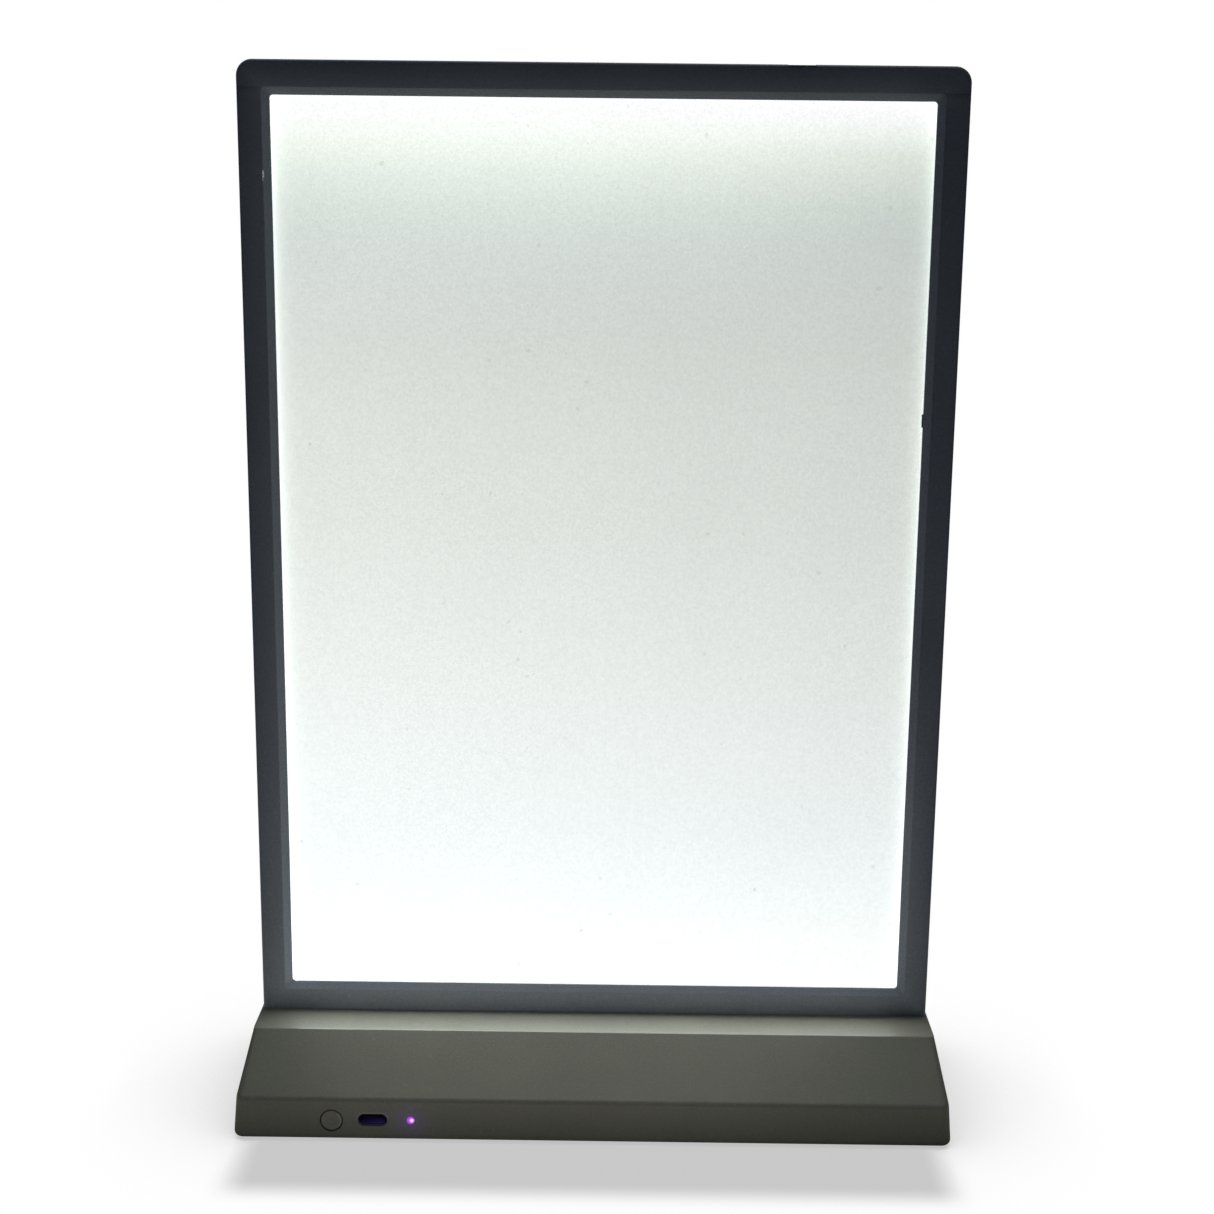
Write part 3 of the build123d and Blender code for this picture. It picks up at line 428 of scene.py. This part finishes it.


# one housing plastic in two tints: painted light colour, warmer on the base and bluer on the bezels
BASE_GREY_WARM_LIT = (0.315, 0.312, 0.258)
BEZEL_GREY_BLUE_LIT = (0.212, 0.244, 0.312)
mats = {
    "housing_plastic": moulded("housing_base", BASE_GREY_WARM_LIT, 0.42, glow=True),
    "base_plate_plastic": moulded("base_plate_grain", (0.06, 0.062, 0.06), 0.55, grain=0.6),
    "button_plastic": button_mat("button_cap"),
    "black_screw": metal("black_screw_steel", (0.055, 0.055, 0.06), 0.38),
    "zinc_screw": metal("zinc_screw_steel", (0.62, 0.62, 0.6), 0.3),
    "foot_rubber": soft("foot_rubber", (0.035, 0.035, 0.034), 0.8, 900, 0.6, spec=0.3),
    "cover_acrylic": cover("cover_anti_glare"),
    "opal_diffuser": lit("opal_lit", 1.9),
    "light_guide_acrylic": guide("light_guide_dots"),
    "reflective_tape": tape("edge_tape"),
    "white_board": board("lamp_board_white", (0.78, 0.78, 0.74), (0.7, 0.6, 0.35)),
    "led_lamp": lamp_body("edge_lamp", (0.9, 0.85, 0.6), (1.0, 0.97, 0.9), 1.5),
    "white_cable": soft("white_sheath", (0.76, 0.76, 0.73), 0.45, 350, 0.2),
    "clamp_steel": metal("galvanised_clamp", (0.52, 0.53, 0.53), 0.42, (60, 60, 60)),
    "green_board": board("control_board_green", (0.012, 0.12, 0.05), (0.75, 0.66, 0.4)),
    "chip_black": soft("chip_epoxy", (0.028, 0.028, 0.03), 0.5, 1500, 0.4),
    "socket_steel": socket("socket_shell", (0.004, 0.003, 0.012), 0.4, 0.6),
    "socket_plastic": socket("socket_insulator", (0.0011, 0.0008, 0.0034), 0.5, 0.0),
    "switch_black": soft("switch_body", (0.03, 0.03, 0.03), 0.5, 800, 0.3),
    "plunger_plastic": soft("plunger", (0.7, 0.7, 0.66), 0.45, 800, 0.2),
    "indicator_chip": lamp_body("indicator_chip", (0.7, 0.6, 0.9), (0.5, 0.1, 0.9), 2.0),
    "indicator_lens": lamp_body("indicator_lens", (0.5, 0.25, 0.8), (0.56, 0.1, 1.0), 1.2, spot=LAMP),
    "cell_wrap": wrap("cell_wrap"),
    "cradle_plastic": moulded("cradle_grain", (0.14, 0.14, 0.14), 0.5),
    "nickel_strip": metal("nickel_strip", (0.6, 0.58, 0.53), 0.3, (300, 60, 60)),
    "red_wire": soft("red_sheath", (0.5, 0.02, 0.015), 0.4, 400, 0.2),
    "black_wire": soft("black_sheath", (0.02, 0.02, 0.02), 0.4, 400, 0.2),
    "plug_white": soft("plug_moulding", (0.78, 0.76, 0.68), 0.45, 500, 0.25),
}
case = moulded("housing_case", BEZEL_GREY_BLUE_LIT, 0.42, seam_and_painted_light=True, scuff_and_glint=True, speckle=0.15)

slot_of = {s["node"]: s["material_slot"] for s in frame["record"]["subparts"]}
for name, ob in nodes.items():
    ob.data.materials.clear()
    ob.data.materials.append(case if name in ("front_bezel", "rear_bezel") else mats[slot_of[name]])

# ------------------------------------------------------------------ small modelled detail


def mesh_piece(name, verts, faces, material, body, slot):
    me = bpy.data.meshes.new(name)
    me.from_pydata(verts, [], faces)
    me.materials.append(material)
    ob = bpy.data.objects.new(name, me)
    bpy.context.collection.objects.link(ob)
    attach(ob, body)
    return ob


def add_box(vs, fs, x0, x1, y0, y1, z0, z1, c=0.0):
    """A box in mm with chamfered long edges, added to the lists in metres."""
    b = len(vs)
    xs = [(x0, y0 + c), (x0 + c, y0), (x1 - c, y0), (x1, y0 + c), (x1, y1 - c), (x1 - c, y1), (x0 + c, y1), (x0, y1 - c)]
    for z in (z0, z1):
        vs.extend((x * MM, y * MM, z * MM) for x, y in xs)
    n = len(xs)
    fs.append(tuple(b + i for i in range(n))[::-1])
    fs.append(tuple(b + n + i for i in range(n)))
    for i in range(n):
        j = (i + 1) % n
        fs.append((b + i, b + j, b + n + j, b + n + i))


# contact pads on both faces of the socket tongue
vs, fs = [], []
for i in range(12):
    cx = -71.25 - 2.75 + i * 0.5
    for z0, z1 in ((8.15, 8.19), (7.41, 7.45)):
        add_box(vs, fs, cx - 0.13, cx + 0.13, -38.3, -33.6, z0, z1, 0.03)
gold = metal("contact_gold", (0.20, 0.145, 0.06), 0.35)
mesh_piece("socket_contacts", vs, fs, gold, "stand", "socket_steel")

# legs of the two chips on the control board
vs, fs = [], []
for cx, cy, h in ((-73.0, -25.0, 2.5), (-88.5, -23.5, 2.0)):
    for i in range(5):
        q = (i - 2) * (h * 2 - 1.2) / 4
        for s in (-1, 1):
            a, b = sorted((s * (h - 0.05), s * (h + 0.55)))
            add_box(vs, fs, cx + a, cx + b, cy + q - 0.16, cy + q + 0.16, 9.22, 9.37, 0.03)
            add_box(vs, fs, cx + q - 0.16, cx + q + 0.16, cy + a, cy + b, 9.22, 9.37, 0.03)
mesh_piece("chip_legs", vs, fs, mats["zinc_screw"], "stand", "zinc_screw")

# ------------------------------------------------------------------ floor, world, light
me = bpy.data.meshes.new("floor")
S = 6.0
me.from_pydata([(-S, -S, 0), (S, -S, 0), (S, S, 0), (-S, S, 0)], [], [(0, 1, 2, 3)])
floor = bpy.data.objects.new("floor", me)
bpy.context.collection.objects.link(floor)
floor.location.z = -0.00002
g = G("floor_pale")
# painted contact shade: ambient occlusion darkens the floor's emitted colour near the object
ao = g.n("ShaderNodeAmbientOcclusion", {"Distance": 0.055}, samples=8)
shade = g.span(ao.outputs["AO"], 0.35, 1.0, 0.52, 1.0)
tone = g.math("ADD", shade, g.span(g.noise(3, 3), 0.3, 0.7, -0.004, 0.004))
d2 = g.math("SQRT", g.math("ADD", g.math("MULTIPLY", g.x, g.x), g.math("MULTIPLY", g.y, g.y)))
fall = g.math("DIVIDE", 1.0, g.math("ADD", 1.0, g.math("POWER", g.math("DIVIDE", d2, 0.19), 2.8)))
ax, ay = g.math("ABSOLUTE", g.x), g.math("ABSOLUTE", g.y)
gapx = g.math("MAXIMUM", g.math("SUBTRACT", ax, 0.1168), 0.0)
gapy = g.math("MAXIMUM", g.math("SUBTRACT", ay, 0.041), 0.0)
away = g.math("SQRT", g.math("ADD", g.math("MULTIPLY", gapx, gapx), g.math("MULTIPLY", gapy, gapy)))
# painted shadow in front of the base
painted_front_shadow = g.math("MULTIPLY", g.span(g.y, -0.0648, -0.0806, 1.0, 0.0, smooth=True), g.span(ax, 0.106, 0.121, 1.0, 0.0, smooth=True))
painted_front_shadow = g.math("MULTIPLY", painted_front_shadow, g.math("LESS_THAN", g.y, 0.0))
tone = g.math("MINIMUM", tone, g.span(painted_front_shadow, 0.0, 1.0, 1.0, 0.58))
em_cam = g.n("ShaderNodeEmission", {"Color": (1, 1, 1, 1)})
g.put(em_cam.inputs["Strength"], tone)
em_oth = g.n("ShaderNodeEmission", {"Color": (1.0, 0.985, 0.90, 1)})
g.put(em_oth.inputs["Strength"], g.math("ADD", g.math("MULTIPLY", g.math("MULTIPLY", fall, g.span(away, 0.0, 0.115, 0.055, 1.0)), g.span(g.x, -0.15, 0.15, 1.08, 0.86)), 0.006))
lp = g.n("ShaderNodeLightPath")
mx = g.n("ShaderNodeMixShader")
g.link(lp.outputs["Is Camera Ray"], mx.inputs[0]); g.link(em_oth.outputs[0], mx.inputs[1]); g.link(em_cam.outputs[0], mx.inputs[2])
me.materials.append(g.done(mx.outputs[0]))

w = bpy.data.worlds.new("studio")
bpy.context.scene.world = w
w.use_nodes = True
t = w.node_tree
t.nodes.clear()
N = t.nodes.new
out = N("ShaderNodeOutputWorld")
cam_bg = N("ShaderNodeBackground"); cam_bg.inputs[0].default_value = (1, 1, 1, 1); cam_bg.inputs[1].default_value = 1.0
env = N("ShaderNodeBackground"); env.inputs[1].default_value = 1.0
geo = N("ShaderNodeNewGeometry"); sp = N("ShaderNodeSeparateXYZ"); t.links.new(geo.outputs["Incoming"], sp.inputs[0])
mr = N("ShaderNodeMapRange"); mr.inputs[1].default_value = 1.0; mr.inputs[2].default_value = -1.0
t.links.new(sp.outputs[2], mr.inputs[0])
cr = N("ShaderNodeValToRGB"); el = cr.color_ramp.elements
el[0].position = 0.0; el[0].color = (0.03, 0.035, 0.04, 1)
el[1].position = 1.0; el[1].color = (0.14, 0.145, 0.15, 1)
e = el.new(0.5); e.color = (0.018, 0.021, 0.031, 1)
e = el.new(0.7); e.color = (0.026, 0.030, 0.040, 1)
t.links.new(mr.outputs[0], cr.inputs[0]); t.links.new(cr.outputs[0], env.inputs[0])
lpw = N("ShaderNodeLightPath"); mxw = N("ShaderNodeMixShader")
t.links.new(lpw.outputs["Is Camera Ray"], mxw.inputs[0]); t.links.new(env.outputs[0], mxw.inputs[1]); t.links.new(cam_bg.outputs[0], mxw.inputs[2])
t.links.new(mxw.outputs[0], out.inputs[0])


def area(name, loc, target, size, power, colour):
    li = bpy.data.lights.new(name, "AREA")
    li.shape = "RECTANGLE"; li.size, li.size_y = size
    li.energy = power; li.color = colour
    ob = bpy.data.objects.new(name, li)
    ob.location = loc
    ob.rotation_mode = "QUATERNION"
    ob.rotation_quaternion = (Vector(target) - Vector(loc)).to_track_quat("-Z", "Y")
    bpy.context.collection.objects.link(ob)
    ob.visible_camera = False
    return ob


area("soft_top", (0.2, 0.5, 1.5), (0, 0, 0.2), (1.2, 0.8), 3.0, (1.0, 0.99, 0.96))

# ------------------------------------------------------------------ camera
cam_d = bpy.data.cameras.new("cam")
cam_d.sensor_width = 36.0
cam_d.lens = 36.0 * 1957.0 / 1214.0
cam_d.clip_start, cam_d.clip_end = 0.01, 50
cam = bpy.data.objects.new("cam", cam_d)
bpy.context.collection.objects.link(cam)
pitch, roll, yaw = math.radians(12.782), math.radians(0.629), math.radians(0.284)
R = Vector((math.cos(yaw), math.sin(yaw), 0))
F = Vector((-math.sin(yaw) * math.cos(pitch), math.cos(yaw) * math.cos(pitch), -math.sin(pitch)))
U = R.cross(F)
right = R * math.cos(roll) + U * math.sin(roll)
up = U * math.cos(roll) - R * math.sin(roll)
m = Matrix((right, up, -F)).transposed().to_4x4()
m.translation = Vector((5.87, -622.21, 311.34)) * MM
cam.matrix_world = m
sc = bpy.context.scene
sc.camera = cam
sc.view_settings.view_transform = "Standard"
sc.view_settings.look = "None"
